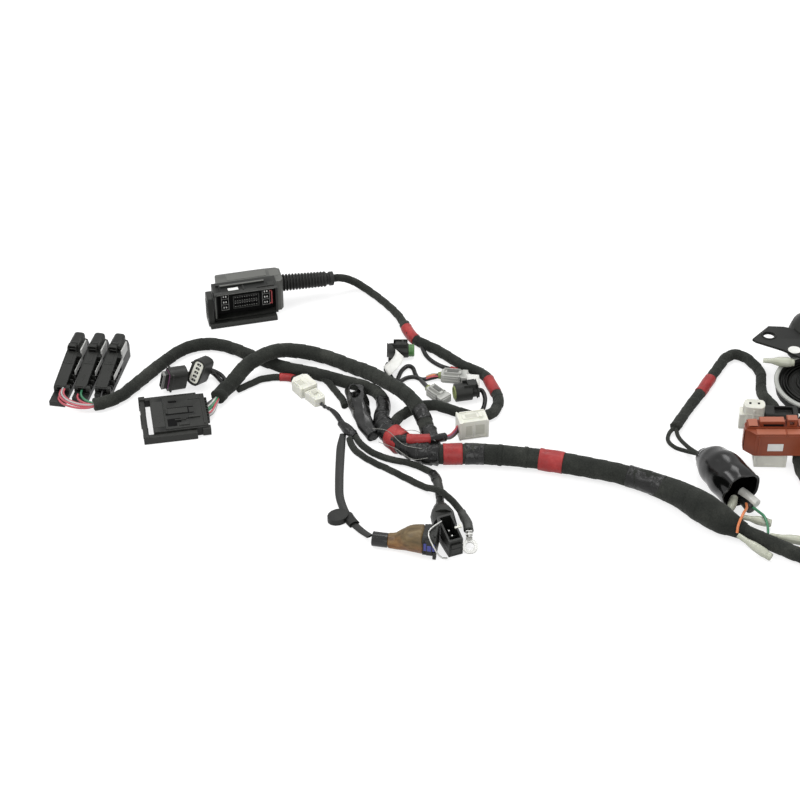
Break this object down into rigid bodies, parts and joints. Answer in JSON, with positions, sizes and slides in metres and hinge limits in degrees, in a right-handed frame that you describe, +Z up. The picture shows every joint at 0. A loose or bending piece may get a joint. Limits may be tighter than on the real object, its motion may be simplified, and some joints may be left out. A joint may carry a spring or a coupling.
{
  "type": "motorcycle wiring harness",
  "caption": "Motorcycle wiring harness laid out flat: taped trunk and branches ending in moulded plugs, rubber boots, bullet terminals, an earth ring and a horn.",
  "frame": {"origin": "middle of the laid-out harness, on the plane that it lies on", "axes": "+X along the trunk's side, to the tail and the horn; +Y away from the viewer; +Z up"},
  "size_m": [0.7785, 0.4442, 0.0504],
  "materials": {
    "cloth_tape": "matte woven cloth tape",
    "glossy_tape": "glossy crinkled vinyl tape",
    "red_tape": "satin vinyl tape",
    "black_plastic": "satin moulded plastic",
    "grey_plastic": "satin moulded plastic",
    "pale_grey_plastic": "satin moulded plastic",
    "white_nylon": "satin moulded nylon",
    "brown_plastic": "satin moulded plastic",
    "brown_rubber": "aged moulded rubber",
    "black_rubber": "smooth moulded rubber",
    "clear_vinyl": "clear soft vinyl",
    "bright_steel": "tinned",
    "painted_steel": "satin black paint"
  },
  "bodies": {
    "harness": {"relay_plug_1": "black_plastic", "relay_plug_2": "black_plastic", "relay_plug_3": "black_plastic", "four_pin_plug": "black_plastic", "five_pin_plug": "black_plastic", "five_pin_face": "white_nylon", "box_connector": "black_plastic", "branch_2_sleeve": "cloth_tape", "branch_1_sleeve": "cloth_tape", "white_plug": "white_nylon", "white_receptacle": "white_nylon", "white_plug_lead": "cloth_tape", "vinyl_hood": "glossy_tape", "receptacle_sleeve": "cloth_tape", "junction_wrap": "glossy_tape", "trunk_sleeve": "cloth_tape", "trunk_tail": "cloth_tape", "trunk_marker_1": "red_tape", "trunk_marker_2": "red_tape", "ecu_shroud": "black_plastic", "ecu_terminal_block": "black_plastic", "ecu_hood": "grey_plastic", "bellows_boot": "black_rubber", "ecu_lead": "cloth_tape", "loop_sleeve": "cloth_tape", "right_angle_plug": "black_plastic", "cluster_lead": "cloth_tape", "grey_plug_1": "pale_grey_plastic", "grey_plug_2": "pale_grey_plastic", "round_plug": "black_plastic", "white_box_connector": "white_nylon", "box_leads": "cloth_tape", "ribbon_sleeve": "cloth_tape", "cable_clip": "black_plastic", "coil_barrel": "black_rubber", "coil_boot": "brown_rubber", "coil_plug": "black_plastic", "square_connector": "black_plastic", "sensor_lead": "cloth_tape", "ground_lead": "cloth_tape", "ring_terminal": "bright_steel", "wire_bail": "bright_steel", "right_branch_sleeve": "cloth_tape", "rubber_boot": "black_rubber", "bullet_sleeve_1": "clear_vinyl", "bullet_sleeve_2": "clear_vinyl", "bullet_sleeve_3": "clear_vinyl", "bullet_sleeve_4": "clear_vinyl", "bullet_connector": "clear_vinyl", "brown_plug": "brown_plastic", "white_twin_plug": "white_nylon", "twin_plug_lead": "cloth_tape", "white_flat_plug": "white_nylon", "side_sleeve": "cloth_tape", "tube_connector": "black_rubber", "horn_case": "painted_steel", "horn_bracket": "painted_steel", "spade_sleeve": "clear_vinyl"},
    "box_lock": {"box_connector_lock": "black_plastic"},
    "ecu_lock": {"ecu_slide_lock": "black_plastic"}
  },
  "joints": [
    {"name": "box_lock_slide", "type": "slide", "parent": "harness", "child": "box_lock", "axis": [0.9836, 0.1805, 0], "range_m": [-0.006, 0.0046]},
    {"name": "ecu_lock_slide", "type": "slide", "parent": "harness", "child": "ecu_lock", "axis": [0.9703, 0.2419, 0], "range_m": [-0.008, 0.0008]}
  ]
}
